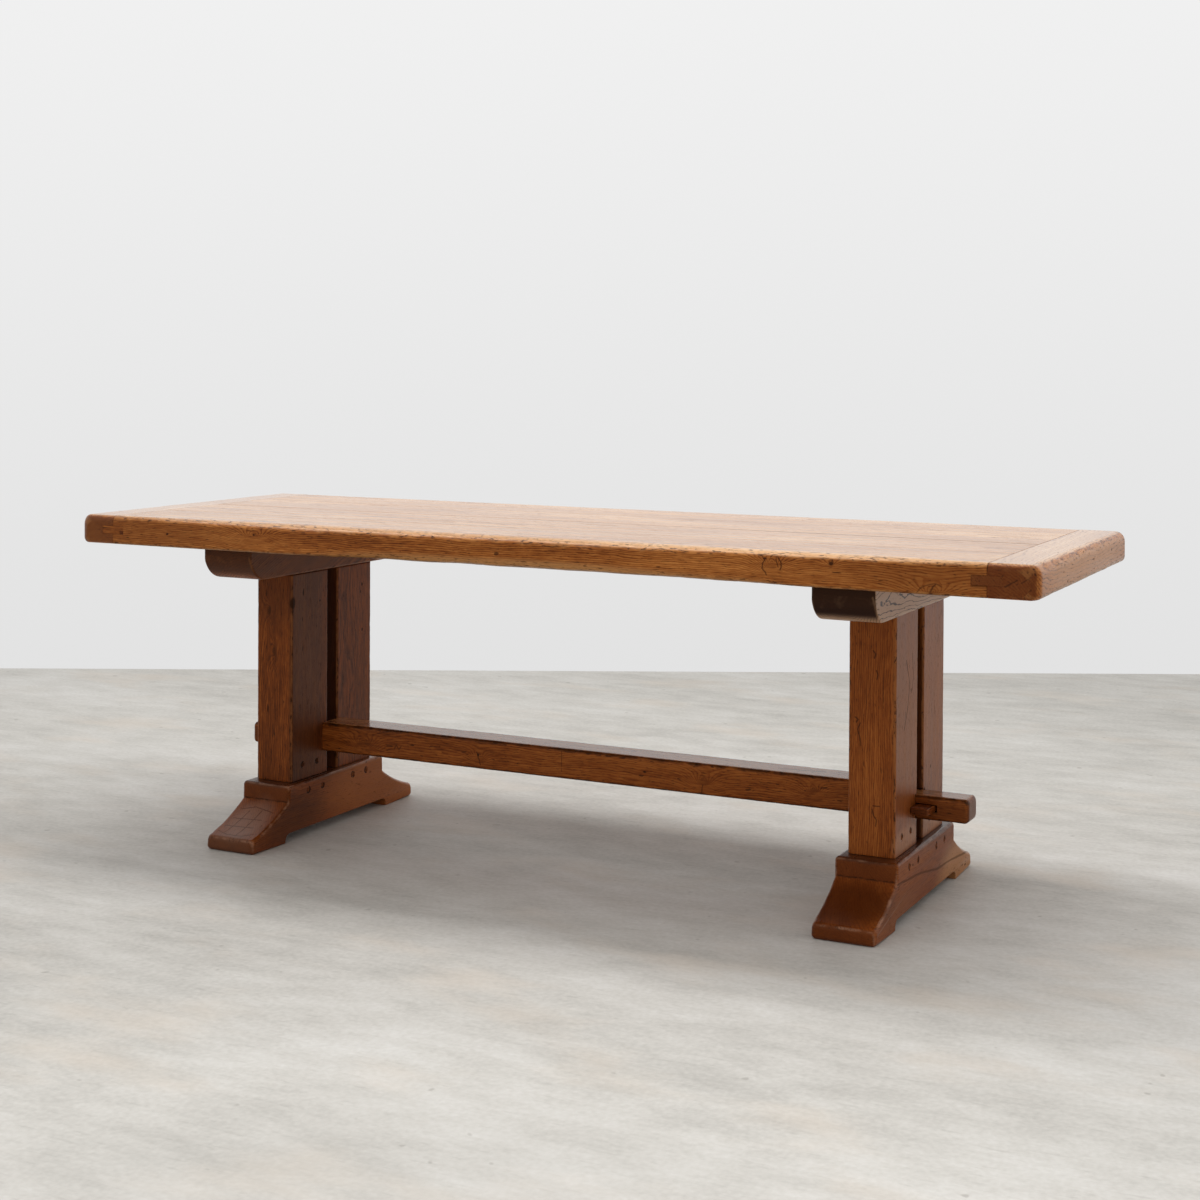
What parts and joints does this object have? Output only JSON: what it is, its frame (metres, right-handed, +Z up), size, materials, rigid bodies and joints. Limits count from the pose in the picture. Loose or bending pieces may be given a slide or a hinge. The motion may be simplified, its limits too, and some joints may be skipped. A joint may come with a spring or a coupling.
{
  "type": "trestle dining table",
  "caption": "Long solid oak dining table: thick plank top with cross boards at its ends, on trestles joined by a low stretcher whose through tenons are locked by wedges.",
  "frame": {"origin": "on the floor, at the centre of the footprint", "axes": "+X along the length of the top to the right, +Y to the back, +Z up"},
  "size_m": [2.25, 0.785, 0.76],
  "materials": {
    "top_oak": "waxed oak, satin",
    "cross_oak": "waxed dark oak, satin",
    "light_oak": "waxed oak, satin",
    "frame_oak": "waxed oak, satin",
    "key_oak": "waxed dark oak, satin",
    "peg_oak": "waxed dark oak, satin",
    "inner_oak": "bare oak",
    "filler": "dark wax filler",
    "screw_steel": "plain steel"
  },
  "bodies": {
    "table": {"top_board_1": "top_oak", "top_board_2": "top_oak", "top_board_3": "top_oak", "top_board_4": "top_oak", "board_tongue_1": "inner_oak", "board_tongue_2": "inner_oak", "board_tongue_3": "inner_oak", "left_breadboard": "cross_oak", "left_end_tongue": "light_oak", "left_bearer": "frame_oak", "left_foot": "frame_oak", "left_foot_pegs": "peg_oak", "left_post_pegs": "peg_oak", "left_bearer_screws": "screw_steel", "left_front_post": "frame_oak", "left_front_foot_tenon": "inner_oak", "left_back_post": "frame_oak", "left_back_foot_tenon": "inner_oak", "right_breadboard": "cross_oak", "right_end_tongue": "cross_oak", "right_bearer": "frame_oak", "right_foot": "frame_oak", "right_foot_pegs": "peg_oak", "right_post_pegs": "peg_oak", "right_bearer_screws": "screw_steel", "right_front_post": "frame_oak", "right_front_foot_tenon": "inner_oak", "right_back_post": "frame_oak", "right_back_foot_tenon": "inner_oak", "left_tongue_plug": "filler", "stretcher": "frame_oak"},
    "left_key": {"left_key": "key_oak"},
    "right_key": {"right_key": "key_oak"}
  },
  "joints": [
    {"name": "left_key_slide", "type": "slide", "parent": "table", "child": "left_key", "axis": [0, 1, 0], "range_m": [0, 0.11]},
    {"name": "right_key_slide", "type": "slide", "parent": "table", "child": "right_key", "axis": [0, 1, 0], "range_m": [0, 0.11]}
  ]
}
